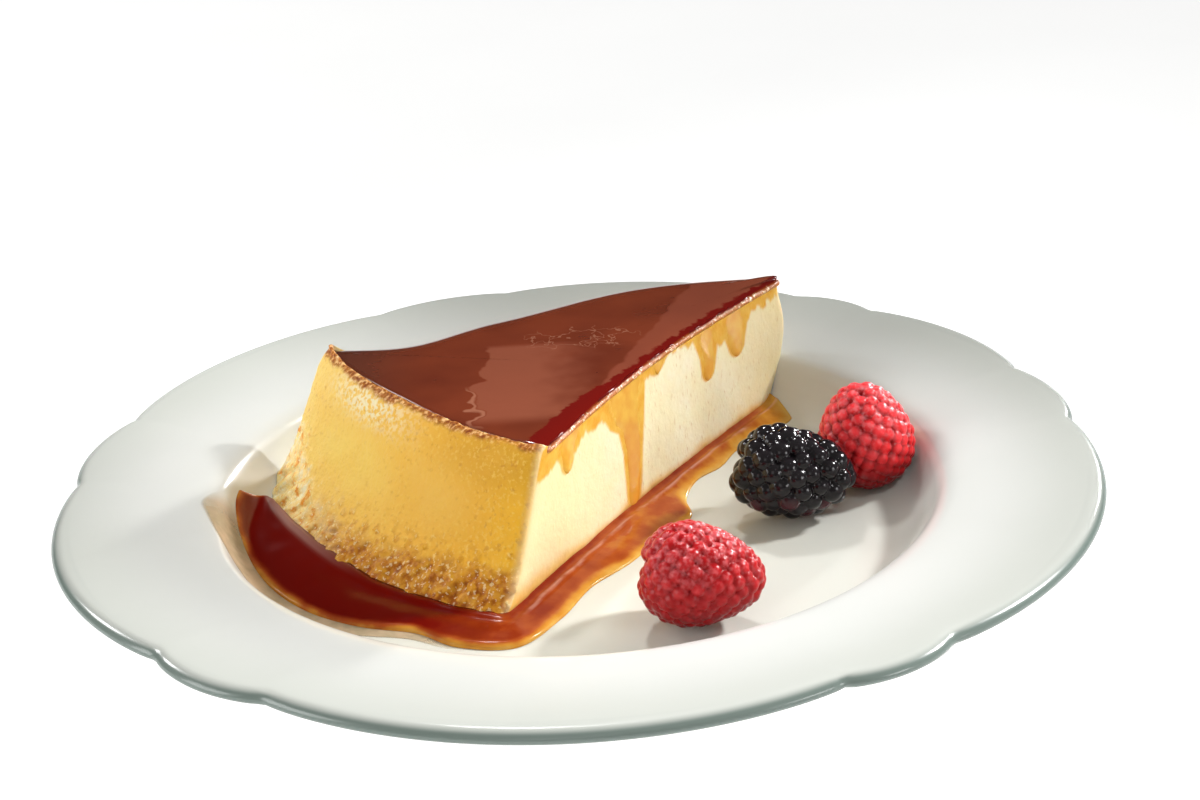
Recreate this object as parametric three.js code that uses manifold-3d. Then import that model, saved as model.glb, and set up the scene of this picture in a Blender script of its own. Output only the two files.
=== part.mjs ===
// Creme caramel: a slice of baked custard under a caramel glaze, standing in a pool of its
// sauce on a lobed porcelain dessert plate, with two raspberries and a bramble beside it.
// Millimetres, +Z up. The origin is the centre of the plate's foot ring, on the table.

import * as THREE from "three";
import { mergeVertices } from "three/addons/utils/BufferGeometryUtils.js";
import { ConvexHull } from "three/addons/math/ConvexHull.js";
import Module from "manifold-3d";

const wasm = await Module();
wasm.setup();

const { lerp, smoothstep, clamp, degToRad } = THREE.MathUtils;

// ---------------------------------------------------------------- driving dimensions

// Clearance between pieces that rest on each other.
const contactGap = 0.3;

// The rim is drawn into lobes between notches at these angles, in degrees from +X.
const plate = {
  rimRadius: 110,
  rimHeight: 21,
  lipWidth: 3.4,
  lipDrop: 1.7,
  shoulderRadius: 78,
  shoulderHeight: 18,
  floorRadius: 65.4,
  floorHeight: 6,
  thickness: 3.6,
  footRadius: 57,
  footWidth: 3.2,
  footHeight: 2.2,
  lobeNotches: [4, 20, 47, 58, 99, 117, 160, 178, 223, 238, 295, 308],
  notchDepth: 1.9,
  longSpan: 22,
  longLobe: 1.3,
  shortLobe: 0.6,
  columnSpacing: 5.2,
};

// A wedge whose two cuts meet at the tip. farCut and nearCut are the ways the cuts run from
// the tip. Heights are above the plate's floor. Values with far, middle and near belong to
// the outer side, at its far corner, in the middle and at its near corner.
const slice = {
  tipX: 50.2,
  tipY: 61.4,
  farCut: degToRad(195.5),
  nearCut: degToRad(238.3),
  rimRadius: { far: 110.3, middle: 107.7, near: 108.7 },
  glazeTop: 31.3,
  bedHeight: 29.4,
  rindHeight: 31.3,
  rindCornerRise: 1.3,
  rindWidth: 1,
  draft: { far: 0.41, middle: 0.45, near: 0.45 },
  footFlare: { far: 6.6, middle: 9.4, near: 5.2 },
  footFlareHeight: { far: 3.4, middle: 5, near: 5 },
  topRounding: 1.2,
  cornerRounding: { far: 0.3, near: 1.1, share: 0.022 },
  nearBow: { foot: 2, top: 3.6 },
  farBow: { out: 7.8, in: 5.4 },
  tipBulge: { out: 2.6, height: 19, halfHeight: 12, reach: 7 },
  crustHeight: 9,
  crustRelief: 0.7,
};

// Runs of caramel on the near cut: distance from the tip, half-width at the top and in the
// neck, and the height above the plate's floor where the run ends.
const drips = [
  { at: 98, top: 4.2, neck: 1.2, end: 21.3, lean: -0.8 },
  { at: 70.6, top: 9, neck: 2.1, end: 1.2, lean: -0.2 },
  { at: 50.5, top: 3.2, neck: 1.4, end: 26.4, lean: 0.4 },
  { at: 33.5, top: 5.2, neck: 2.4, end: 18.2, lean: 0.4 },
  { at: 21, top: 5.2, neck: 2.2, end: 19.6, lean: 0.2 },
];
const dripThickness = 0.9;

// The pool round the foot: how far it spreads from the slice and how high it stands above
// the plate's floor, at places along the foot.
const pool = [
  { side: "arc", at: 0.12, spread: 4.6, level: 2.8 },
  { side: "arc", at: 0.2, spread: 8.4, level: 2.6 },
  { side: "arc", at: 0.3, spread: 11.2, level: 2.3 },
  { side: "arc", at: 0.48, spread: 14.4, level: 2 },
  { side: "arc", at: 0.63, spread: 14, level: 1.8 },
  { side: "arc", at: 0.75, spread: 12.2, level: 1.6 },
  { side: "arc", at: 0.86, spread: 8.8, level: 1.4 },
  { side: "arc", at: 0.96, spread: 10.4, level: 1.3 },
  { side: "corner", at: 1, spread: 9, level: 1.3 },
  { side: "near", at: 118, spread: 8, level: 1.2 },
  { side: "near", at: 104, spread: 8, level: 1.1 },
  { side: "near", at: 92, spread: 11.4, level: 1 },
  { side: "near", at: 80, spread: 12, level: 0.9 },
  { side: "near", at: 67, spread: 13.6, level: 0.8 },
  { side: "near", at: 60, spread: 8.4, level: 0.8 },
  { side: "near", at: 50, spread: 5, level: 0.9 },
  { side: "near", at: 42, spread: 6.4, level: 0.9 },
  { side: "near", at: 34, spread: 5.4, level: 0.9 },
  { side: "near", at: 24, spread: 5.4, level: 0.9 },
  { side: "near", at: 13, spread: 8.6, level: 1 },
  { side: "near", at: 7, spread: 7, level: 1 },
];

// Least depth of the sauce, where it climbs the wall of the well.
const sauceFilm = 0.8;

// Berries about their own axis: rows of drupelets at a pitch along each row, narrowing to
// the tip by the taper. A rounded one has fewer, larger drupelets with more faces each.
const frontRaspberry = {
  length: 25.6,
  width: 20.6,
  rows: 8,
  pitch: 3.4,
  drupelet: 2.1,
  taper: 0.36,
  rounded: false,
};
const backRaspberry = { ...frontRaspberry, length: 24, width: 21.2 };

const bramble = {
  length: 27,
  width: 19.8,
  rows: 6,
  pitch: 4.5,
  drupelet: 2.75,
  taper: 0.14,
  rounded: true,
};

const colours = {
  porcelain: 0xf0f1ee,
  custard: 0xe3b65a,
  caramel: 0x6e2410,
  sauce: 0x6b2208,
  raspberry: 0xb8202e,
  bramble: 0x1c1420,
};

// ---------------------------------------------------------------- small helpers

// A seeded generator of numbers from 0 to 1, so every build is the same.
function seeded(seed) {
  let state = seed;
  return () => {
    state = (Math.imul(state, 1664525) + 1013904223) >>> 0;
    return state / 4294967296;
  };
}

// A smooth hump, 1 at the centre and 0 from halfWidth outwards.
function hump(value, centre, halfWidth) {
  const distance = Math.abs(value - centre) / halfWidth;
  return distance >= 1 ? 0 : 0.5 + 0.5 * Math.cos(Math.PI * distance);
}

// A value that runs smoothly through far, middle and near as s goes from 0 to 1.
function along(values, s) {
  return s < 0.5
    ? lerp(values.far, values.middle, smoothstep(s, 0, 0.5))
    : lerp(values.middle, values.near, smoothstep(s, 0.5, 1));
}

// The direction in plan at an angle from +X.
function heading(angle) {
  return new THREE.Vector2(Math.cos(angle), Math.sin(angle));
}

function raise(point, z) {
  return new THREE.Vector3(point.x, point.y, z);
}

// ---------------------------------------------------------------- solids

// Closed skin over equal rings of points: each end is drawn together at its mean point.
function loft(rings) {
  const count = rings[0].length;
  const ends = [rings[0], rings[rings.length - 1]].map((ring) =>
    ring.reduce((sum, point) => sum.add(point), new THREE.Vector3()).divideScalar(count));
  const points = [...rings.flat(), ...ends];
  const firstEnd = points.length - 2;
  const lastEnd = points.length - 1;
  const lastRow = (rings.length - 1) * count;
  const indices = [];
  for (let column = 0; column < count; column += 1) {
    const next = (column + 1) % count;
    indices.push(firstEnd, next, column);
    indices.push(lastEnd, lastRow + column, lastRow + next);
    for (let row = 0; row < lastRow; row += count) {
      indices.push(row + column, row + next, row + count + next);
      indices.push(row + column, row + count + next, row + count + column);
    }
  }
  return facingOut(geometryFrom(points, indices));
}

function geometryFrom(points, indices) {
  const geometry = new THREE.BufferGeometry();
  const flat = new Float32Array(points.flatMap((point) => [point.x, point.y, point.z]));
  geometry.setAttribute("position", new THREE.BufferAttribute(flat, 3));
  geometry.setIndex(indices);
  return geometry;
}

// Six times the volume that the triangles enclose: negative where they face inwards.
function signedVolume(geometry) {
  const position = geometry.getAttribute("position");
  const corners = [new THREE.Vector3(), new THREE.Vector3(), new THREE.Vector3()];
  let sum = 0;
  for (let start = 0; start < geometry.index.count; start += 3) {
    corners.forEach((corner, k) =>
      corner.fromBufferAttribute(position, geometry.index.getX(start + k)));
    sum += corners[0].dot(corners[1].cross(corners[2]));
  }
  return sum;
}

function facingOut(geometry) {
  if (signedVolume(geometry) < 0) {
    geometry.setIndex(Array.from(geometry.index.array).reverse());
  }
  return geometry;
}

// A closed geometry as a manifold solid, for joining and cutting.
function toSolid(geometry) {
  const bare = geometry.clone();
  bare.deleteAttribute("normal");
  bare.deleteAttribute("uv");
  const welded = mergeVertices(bare, 1e-4);
  return new wasm.Manifold(new wasm.Mesh({
    numProp: 3,
    vertProperties: new Float32Array(welded.getAttribute("position").array),
    triVerts: new Uint32Array(welded.index.array),
  }));
}

// The largest body of a solid, without the crumbs that a cut can leave.
function withoutCrumbs(solid) {
  return solid.decompose().reduce((main, body) => (body.volume() > main.volume() ? body : main));
}

function toGeometry(solid) {
  const mesh = solid.getMesh();
  const geometry = new THREE.BufferGeometry();
  geometry.setAttribute("position", new THREE.BufferAttribute(mesh.vertProperties, 3));
  geometry.setIndex(Array.from(mesh.triVerts));
  return geometry;
}

// ---------------------------------------------------------------- plate

// Columns round the plate, a whole number to each lobe so that notches fall on a column.
function plateColumns() {
  const notches = plate.lobeNotches;
  return notches.flatMap((start, k) => {
    const end = k + 1 < notches.length ? notches[k + 1] : notches[0] + 360;
    const steps = Math.round((end - start) / plate.columnSpacing);
    const crest = end - start > plate.longSpan ? plate.longLobe : plate.shortLobe;
    return Array.from({ length: steps }, (_, i) => ({
      angle: degToRad(lerp(start, end, i / steps)),
      swell: lerp(-plate.notchDepth, crest, Math.sin(Math.PI * i / steps) ** 0.65),
    }));
  });
}

// The upper surface from the centre out to the top of the lip: radius and height.
function plateTop() {
  const inner = plate.rimRadius - plate.lipWidth;
  return [
    [plate.floorRadius * 0.5, plate.floorHeight],
    [plate.floorRadius, plate.floorHeight],
    [plate.floorRadius + 4.2, plate.floorHeight + 0.6],
    [plate.floorRadius + 7.3, plate.floorHeight + 2.7],
    [plate.shoulderRadius - 3, plate.floorHeight + 6.6],
    [plate.shoulderRadius - 1.4, plate.shoulderHeight - 1.9],
    [plate.shoulderRadius + 1, plate.shoulderHeight - 0.4],
    [plate.shoulderRadius + 4.5, plate.shoulderHeight + 0.3],
    [lerp(plate.shoulderRadius, inner, 0.6), plate.shoulderHeight + 1.6],
    [inner, plate.rimHeight],
  ];
}

// The whole closed profile: top, rolled lip, underside, foot ring and base.
function plateProfile() {
  const wall = plate.thickness;
  const footInner = plate.footRadius - plate.footWidth / 2;
  const footOuter = plate.footRadius + plate.footWidth / 2;
  const rim = plate.rimRadius;
  return [
    ...plateTop(),
    [rim - plate.lipWidth * 0.4, plate.rimHeight - plate.lipDrop * 0.15],
    [rim, plate.rimHeight - plate.lipDrop],
    [rim - 0.9, plate.rimHeight - plate.lipDrop - 1.3],
    [rim - plate.lipWidth, plate.rimHeight - wall * 0.8],
    [plate.shoulderRadius + 5, plate.shoulderHeight - wall],
    [plate.shoulderRadius + 1.2, plate.shoulderHeight - wall - 3],
    [plate.shoulderRadius - 3, plate.floorHeight + 0.6],
    [plate.floorRadius + 3, plate.footHeight + 0.2],
    [footOuter + 0.6, plate.footHeight - 0.2],
    [footOuter, 0],
    [footInner, 0],
    [footInner - 0.6, plate.footHeight],
  ];
}

// Turns a profile round Z, its rim drawn in and out into lobes.
function turned(profile) {
  const columns = plateColumns();
  const rings = profile.map(([radius, height]) => columns.map(({ angle, swell }) => {
    const lobed = radius + swell * smoothstep(radius, plate.shoulderRadius + 4, plate.rimRadius);
    return raise(heading(angle).multiplyScalar(lobed), height);
  }));
  return loft(rings);
}

// The plate's upper surface with the contact gap on it, as a block to cut food with.
function plateCutter() {
  const lifted = plateTop().map(([radius, height]) => [radius, height + contactGap]);
  const under = [[plate.rimRadius - plate.lipWidth, -5], [1, -5]];
  return toSolid(turned([...lifted, ...under]));
}

// ---------------------------------------------------------------- custard slice

const tip = new THREE.Vector2(slice.tipX, slice.tipY);
const nearWay = heading(slice.nearCut);
const farWay = heading(slice.farCut);
const nearOut = heading(slice.nearCut + Math.PI / 2);
const farOut = heading(slice.farCut - Math.PI / 2);
const tipWay = heading((slice.farCut + slice.nearCut) / 2).negate();

// Low lumps of the baked crust, strongest at the foot.
function crust(s, height) {
  const band = 1 - smoothstep(height, slice.crustHeight * 0.4, slice.crustHeight);
  const lumps = Math.sin(s * 61 + height * 0.5) + Math.sin(s * 103 - height * 0.9 + 1.3);
  return slice.crustRelief * band * lumps * 0.5;
}

// Radius of the slice's outer side from the tip, s from the far corner to the near one.
function sideRadius(s, height) {
  const above = Math.max(height, 0);
  const drop = slice.glazeTop - above;
  const rounding = slice.cornerRounding;
  return along(slice.rimRadius, s)
    + along(slice.draft, s) * drop
    + along(slice.footFlare, s) * Math.exp(-above / along(slice.footFlareHeight, s))
    - slice.topRounding * Math.exp(-Math.max(drop, 0) / slice.topRounding)
    - rounding.far * Math.exp(-s / rounding.share)
    - rounding.near * Math.exp((s - 1) / rounding.share)
    + crust(s, above);
}

// The wedge's point swells where it leans on the plate's shoulder.
function tipShift(distance, height) {
  const bulge = slice.tipBulge;
  const out = bulge.out * hump(height, bulge.height, bulge.halfHeight);
  return tipWay.clone().multiplyScalar(out * Math.exp(-distance / bulge.reach));
}

function nearPoint(distance, height, out = 0) {
  const fraction = clamp(distance / sideRadius(1, height), 0, 1);
  const rise = clamp(height / slice.glazeTop, 0, 1);
  const bow = lerp(slice.nearBow.foot, slice.nearBow.top, rise) * Math.sin(Math.PI * fraction);
  return tip.clone()
    .addScaledVector(nearWay, distance)
    .addScaledVector(nearOut, out - bow)
    .add(tipShift(distance, height));
}

function farPoint(distance, height, out = 0) {
  const fraction = clamp(distance / sideRadius(0, height), 0, 1);
  const bow = slice.farBow.out * hump(fraction, 0.3, 0.42)
    - slice.farBow.in * hump(fraction, 0.84, 0.2);
  return tip.clone()
    .addScaledVector(farWay, distance)
    .addScaledVector(farOut, out + bow)
    .add(tipShift(distance, height));
}

function arcPoint(s, height, out = 0, cutOut = 0) {
  const radius = sideRadius(s, height);
  const angle = lerp(slice.farCut, slice.nearCut, s) + (2 * s - 1) * cutOut / radius;
  return tip.clone().addScaledVector(heading(angle), radius + out);
}

const arcSteps = 34;
const cutSteps = 13;

// The slice's outline at a height: the arc, then the near cut, the tip and the far cut.
// arcOut and cutOut move the arc and the two cuts outwards.
function outline(height, arcOut = 0, cutOut = 0) {
  const points = [];
  for (let i = 0; i <= arcSteps; i += 1) {
    points.push(arcPoint(i / arcSteps, height, arcOut, cutOut));
  }
  const nearEnd = sideRadius(1, height) + arcOut;
  const farEnd = sideRadius(0, height) + arcOut;
  for (let i = 1; i < cutSteps; i += 1) {
    points.push(nearPoint(nearEnd * (1 - i / cutSteps), height, cutOut));
  }
  points.push(tip.clone().add(tipShift(0, height)).addScaledVector(tipWay, cutOut * 1.5));
  for (let i = 1; i < cutSteps; i += 1) {
    points.push(farPoint(farEnd * i / cutSteps, height, cutOut));
  }
  return points;
}

// Height of the slice's top edge: the rind stands proud and rises at the far corner.
function rindTop(column) {
  const s = clamp(column / arcSteps, 0, 1);
  const onCuts = column > arcSteps ? 0.4 : 0;
  return slice.rindHeight - onCuts
    + slice.rindCornerRise * Math.exp(-s / 0.1)
    + 0.15 * Math.sin(column * 2.3);
}

// The slice before it is seated, grown outwards by a clearance.
function sliceBlock(grow) {
  const rows = [-3, 0.6, 2.4, 4.6, 7.5, 12, 18, 24, 28, 30.2];
  const rings = rows.map((height) =>
    outline(height, grow, grow).map((point) => raise(point, height + plate.floorHeight)));
  const edge = { out: grow, fall: 0 };
  const crown = { out: grow - slice.rindWidth * 1.6, fall: 0.35 };
  for (const { out, fall } of [edge, crown]) {
    const shape = outline(slice.glazeTop, out, grow);
    rings.push(shape.map((point, column) =>
      raise(point, rindTop(column) + grow - fall + plate.floorHeight)));
  }
  return toSolid(loft(rings));
}

// The shallow bed inside the rind that holds the glaze, open at both cuts.
function bedCutter(grow) {
  const shape = outline(slice.glazeTop, -slice.rindWidth - grow, 6);
  const heights = [slice.bedHeight + grow, slice.bedHeight + 12];
  const rings = heights.map((height) =>
    shape.map((point) => raise(point, height + plate.floorHeight)));
  return toSolid(loft(rings));
}

// The custard with its bed, grown outwards by a clearance, before the plate shapes its foot.
function custardSlice(grow) {
  return sliceBlock(grow).subtract(bedCutter(grow));
}

// ---------------------------------------------------------------- glaze and its runs

// One ring of the glaze: how far it is drawn in from the arc and from the cuts.
function glazeRing(height, arcInset, cutInset) {
  const shape = outline(slice.glazeTop, -slice.rindWidth - arcInset, -cutInset);
  return shape.map((point) => raise(point, height + plate.floorHeight));
}

// The glaze over the bed, rounded down to the cuts and level against the rind.
function glazeCap() {
  const base = slice.bedHeight;
  return toSolid(loft([
    glazeRing(base, 0, 0.3),
    glazeRing(base + 0.5, 0, -0.5),
    glazeRing(base + 0.9, contactGap, -0.1),
    glazeRing(slice.glazeTop - 0.25, contactGap, 1.8),
    glazeRing(slice.glazeTop, 0.7, 4.2),
    glazeRing(slice.glazeTop + 0.05, 12, 14),
  ]));
}

// A run of caramel down the near cut, widest under the edge, with a round drop at its end.
function dripRun({ at, top, neck, end, lean }) {
  const start = slice.bedHeight + contactGap + 0.75;
  const rows = 9;
  const rings = [];
  for (let row = 0; row <= rows; row += 1) {
    const t = row / rows;
    const height = lerp(start, end, t);
    const narrowing = lerp(top, neck, smoothstep(t, 0, 0.55));
    const tail = Math.sqrt(Math.max(1 - Math.max((t - 0.86) / 0.14, 0) ** 2, 0.06));
    const half = narrowing * tail;
    const depth = dripThickness * lerp(0.65, 1, smoothstep(t, 0.3, 0.9)) * tail;
    const centre = at + lean * t;
    const skin = [[-1, 0], [-0.6, 0.8], [0, 1], [0.6, 0.8], [1, 0]];
    const front = skin.map(([across, proud]) =>
      nearPoint(centre + across * half, height, contactGap + 0.05 + proud * depth));
    const back = [0.5, -0.5].map((across) =>
      nearPoint(centre + across * half, height, 0));
    rings.push([...front, ...back].map((point) => raise(point, height + plate.floorHeight)));
  }
  return toSolid(loft(rings));
}

// The glaze and its runs in one, fitted to the custard.
function glazeWithRuns() {
  const caramel = drips.reduce((solid, drip) => solid.add(dripRun(drip)), glazeCap());
  return withoutCrumbs(caramel.subtract(custardSlice(contactGap)));
}

// ---------------------------------------------------------------- sauce pool

// A point on the slice's foot and the way out from it, for one place of the pool. at is a
// share of the arc from the far corner, or on the near cut the distance from the tip.
function footPlace({ side, at }) {
  const height = 1;
  if (side === "near") {
    return { point: nearPoint(at, height), way: nearOut };
  }
  const way = side === "corner"
    ? nearWay.clone().add(nearOut).normalize()
    : heading(lerp(slice.farCut, slice.nearCut, at));
  return { point: arcPoint(at, height), way };
}

// The pool's places as smooth curves along the foot and along the outer edge. The level
// rides as the curves' third coordinate.
function poolCurves() {
  const places = pool.map((entry) => {
    const { point, way } = footPlace(entry);
    const edge = point.clone().addScaledVector(way, entry.spread);
    return { foot: raise(point, entry.level), edge: raise(edge, entry.level) };
  });
  return ["foot", "edge"].map((line) =>
    new THREE.CatmullRomCurve3(places.map((place) => place[line]), false, "centripetal"));
}

// Height of the plate's upper surface at a radius from its centre.
function plateHeight(radius) {
  const profile = plateTop();
  const outer = profile.findIndex(([reach]) => reach >= radius);
  if (outer <= 0) {
    return outer < 0 ? plate.rimHeight : plate.floorHeight;
  }
  const [r0, z0] = profile[outer - 1];
  const [r1, z1] = profile[outer];
  return lerp(z0, z1, (radius - r0) / (r1 - r0));
}

// The pool as one slab round the foot, with a rounded outer edge, climbing the well's wall
// as a film. It is then cut by the plate and by the slice.
function poolSlab() {
  const [foot, edge] = poolCurves();
  const steps = 72;
  const rings = [];
  for (let i = 0; i <= steps; i += 1) {
    const inner = foot.getPoint(i / steps);
    const across = edge.getPoint(i / steps).sub(inner).setZ(0);
    const closing = Math.sqrt(clamp((Math.min(i * 2, steps - i) + 0.2) / 3, 0, 1));
    const reach = across.length() * closing;
    across.normalize();
    const level = inner.z * lerp(0.6, 1, closing);
    const spots = [[0, 1], [0.35, 1], [0.65, 1], [0.85, 0.95], [0.96, 0.65], [1, 0.15]];
    const skin = spots.map(([share, fullness]) => {
      const x = inner.x + across.x * reach * share;
      const y = inner.y + across.y * reach * share;
      const ground = plateHeight(Math.hypot(x, y));
      const film = Math.max(plate.floorHeight + level - ground, sauceFilm);
      return new THREE.Vector3(x, y, ground + film * fullness);
    });
    const under = inner.clone().addScaledVector(across, -7);
    const last = skin[skin.length - 1];
    rings.push([
      raise(under, 0), raise(under, skin[0].z), ...skin, raise(last, 0),
    ]);
  }
  return toSolid(loft(rings));
}

// ---------------------------------------------------------------- berries

// Drupelet centres on a berry about the +Z axis, in staggered rows from base to tip.
function drupeletCentres(kind, seed) {
  const random = seeded(seed);
  const centres = [];
  for (let row = 0; row < kind.rows; row += 1) {
    const v = (row + 0.6) / kind.rows;
    const z = kind.length * (v - 0.5) * 0.86;
    const radius = berryRadius(kind, v);
    const count = Math.max(Math.round(2 * Math.PI * radius / kind.pitch), 1);
    for (let i = 0; i < count; i += 1) {
      const turn = (i + 0.5 * (row % 2) + 0.16 * (random() - 0.5)) / count * 2 * Math.PI;
      const spread = radius * (1 + 0.04 * (random() - 0.5));
      centres.push({
        place: new THREE.Vector3(
          spread * Math.cos(turn), spread * Math.sin(turn), z + 0.5 * (random() - 0.5)),
        size: kind.drupelet * (0.92 + 0.16 * random()),
      });
    }
  }
  const endPlace = new THREE.Vector3(0, 0, kind.length / 2 - kind.drupelet);
  centres.push({ place: endPlace, size: kind.drupelet });
  return centres;
}

// Radius of the circle of drupelet centres at a share v of the length from the base.
function berryRadius(kind, v) {
  const full = kind.width / 2 - kind.drupelet * 0.8;
  const belly = 0.4;
  const towards = v < belly ? (belly - v) / belly * 0.86 : (v - belly) / (1 - belly);
  const round = Math.sqrt(Math.max(1 - towards ** 2.3, 0));
  return full * round * (1 - kind.taper * Math.max(v - belly, 0));
}

// How far out from the berry's centre its skin lies in a direction.
function skinDistance(direction, drupelets, core) {
  let farthest = core;
  for (const { place, size } of drupelets) {
    const ahead = place.dot(direction);
    const square = ahead * ahead - place.lengthSq() + size * size;
    if (square > 0) {
      farthest = Math.max(farthest, ahead + Math.sqrt(square));
    }
  }
  return farthest;
}

// Triangles of the convex hull of points on a unit sphere, as index triples.
function sphereFaces(points) {
  const tagged = points.map((point) => point.clone());
  const hull = new ConvexHull().setFromPoints(tagged);
  return hull.faces.map((face) => {
    const corners = [];
    let edge = face.edge;
    do {
      corners.push(tagged.indexOf(edge.head().point));
      edge = edge.next;
    } while (edge !== face.edge);
    return corners;
  });
}

// Points for a berry's mesh: on each drupelet, round it, and in the creases between.
function berryDirections(drupelets, rounded) {
  const tops = drupelets.map(({ place }) => place.clone().normalize());
  const faces = sphereFaces(tops);
  const directions = [...tops];
  for (const [a, b, c] of faces) {
    directions.push(tops[a].clone().add(tops[b]).add(tops[c]).normalize());
    for (const [from, to] of [[a, b], [b, c], [c, a]]) {
      if (from < to) {
        directions.push(tops[from].clone().lerp(tops[to], 0.5).normalize());
      }
      if (rounded) {
        directions.push(tops[from].clone().lerp(tops[to], 0.26).normalize());
      }
    }
  }
  return directions;
}

function berryGeometry(kind, seed) {
  const drupelets = drupeletCentres(kind, seed);
  const core = kind.width * 0.36;
  const directions = berryDirections(drupelets, kind.rounded);
  const faces = sphereFaces(directions);
  const points = directions.map((direction) =>
    direction.clone().multiplyScalar(skinDistance(direction, drupelets, core)));
  return facingOut(geometryFrom(points, faces.flat()));
}

// ---------------------------------------------------------------- assembly

const meshes = [];

function addMesh(name, geometry, colour, roughness) {
  geometry.computeVertexNormals();
  const material = new THREE.MeshStandardMaterial({ color: colour, roughness, metalness: 0 });
  const mesh = new THREE.Mesh(geometry, material);
  mesh.name = name;
  meshes.push(mesh);
  return mesh;
}

// Sets a berry down on the plate: roll turns it about its own axis, lean tips it from
// upright, turn swings it round, and it drops until only the contact gap is left.
function setDown(mesh, { x, y, roll, lean, turn }) {
  mesh.geometry.rotateZ(degToRad(roll));
  mesh.rotation.order = "ZYX";
  mesh.rotation.set(0, degToRad(lean), degToRad(turn));
  mesh.position.set(x, y, 0);
  mesh.updateMatrixWorld();
  const position = mesh.geometry.getAttribute("position");
  const point = new THREE.Vector3();
  let lift = -Infinity;
  for (let i = 0; i < position.count; i += 1) {
    point.fromBufferAttribute(position, i).applyMatrix4(mesh.matrixWorld);
    lift = Math.max(lift, plateHeight(Math.hypot(point.x, point.y)) + contactGap - point.z);
  }
  mesh.position.z = lift;
}

const cutter = plateCutter();
const custard = withoutCrumbs(custardSlice(0).subtract(cutter));
const sauce = withoutCrumbs(poolSlab().subtract(cutter).subtract(sliceBlock(contactGap)));

addMesh("plate", turned(plateProfile()), colours.porcelain, 0.15);
addMesh("flan", toGeometry(custard), colours.custard, 0.45);
addMesh("caramel_top", toGeometry(glazeWithRuns()), colours.caramel, 0.1);
addMesh("caramel_pool", toGeometry(sauce), colours.sauce, 0.1);

setDown(addMesh("raspberry_front", berryGeometry(frontRaspberry, 7), colours.raspberry, 0.5),
  { x: 23.4, y: -48.6, roll: 0, lean: 97, turn: -4 });
setDown(addMesh("raspberry_back", berryGeometry(backRaspberry, 19), colours.raspberry, 0.5),
  { x: 63, y: 10, roll: 0, lean: -9, turn: 10 });
setDown(addMesh("bramble", berryGeometry(bramble, 31), colours.bramble, 0.2),
  { x: 44.9, y: -3, roll: 0, lean: 96, turn: -8 });

const dessert = new THREE.Group();
dessert.add(...meshes);

export default dessert;
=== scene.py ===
"""Creme caramel on its dessert plate: the looks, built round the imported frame.

Formulas work in millimetres, with +Z up and the origin under the plate's middle. The shapes
follow the same driving dimensions as the part.
"""

import itertools
from math import cos, pi, radians, sin, sqrt, tan
from types import SimpleNamespace

import bmesh
import bpy
import numpy as np
from mathutils import Matrix, Vector
from numpy import array, clip, concatenate, exp, linspace, maximum, stack, where
from numpy.linalg import norm


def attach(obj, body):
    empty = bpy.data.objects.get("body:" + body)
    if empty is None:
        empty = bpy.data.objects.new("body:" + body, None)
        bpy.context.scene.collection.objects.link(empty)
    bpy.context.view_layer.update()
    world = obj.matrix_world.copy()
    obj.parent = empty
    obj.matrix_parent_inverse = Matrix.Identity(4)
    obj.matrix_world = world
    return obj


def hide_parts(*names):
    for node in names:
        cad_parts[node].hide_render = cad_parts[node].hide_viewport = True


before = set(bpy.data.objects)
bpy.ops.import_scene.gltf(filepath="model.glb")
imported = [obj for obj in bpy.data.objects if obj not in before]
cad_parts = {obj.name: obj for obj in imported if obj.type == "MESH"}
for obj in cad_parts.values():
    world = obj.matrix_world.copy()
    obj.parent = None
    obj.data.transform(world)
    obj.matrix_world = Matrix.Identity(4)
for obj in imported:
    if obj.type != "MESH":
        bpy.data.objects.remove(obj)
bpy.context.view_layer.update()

scene = bpy.context.scene
MM = 0.001
outer = np.multiply.outer

# ---- driving dimensions

PLATE = SimpleNamespace(
    rim_radius=110.0, rim_height=21.0, lip_width=3.4, lip_drop=1.7, shoulder_radius=78.0,
    shoulder_height=18.0, floor_radius=65.4, floor_height=6.0, thickness=3.6, foot_radius=57.0,
    foot_width=3.2, foot_height=2.2,
    notches=(4, 20, 47, 58, 99, 117, 160, 178, 223, 238, 295, 308), notch_depth=1.9,
    long_span=22, long_lobe=1.3, short_lobe=0.6,
)

SLICE = SimpleNamespace(
    tip=array([50.2, 61.4]), far_cut=radians(195.5), near_cut=radians(238.3),
    rim_radius=(110.3, 107.7, 108.7), glaze_top=31.3, bed_height=29.4, rind_height=31.3,
    rind_corner_rise=1.3, rind_width=1.0, draft=(0.41, 0.45, 0.45), foot_flare=(6.6, 9.4, 5.2),
    foot_flare_height=(3.4, 5.0, 5.0), top_rounding=1.2, corner_rounding=(0.3, 1.1),
    corner_share=0.022, near_bow=(2.0, 3.6), far_bow=(7.8, 5.4),
    bulge=SimpleNamespace(out=2.6, height=19.0, half_height=12.0, reach=7.0), crust_height=9.0,
    crust_relief=0.7,
)

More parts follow.
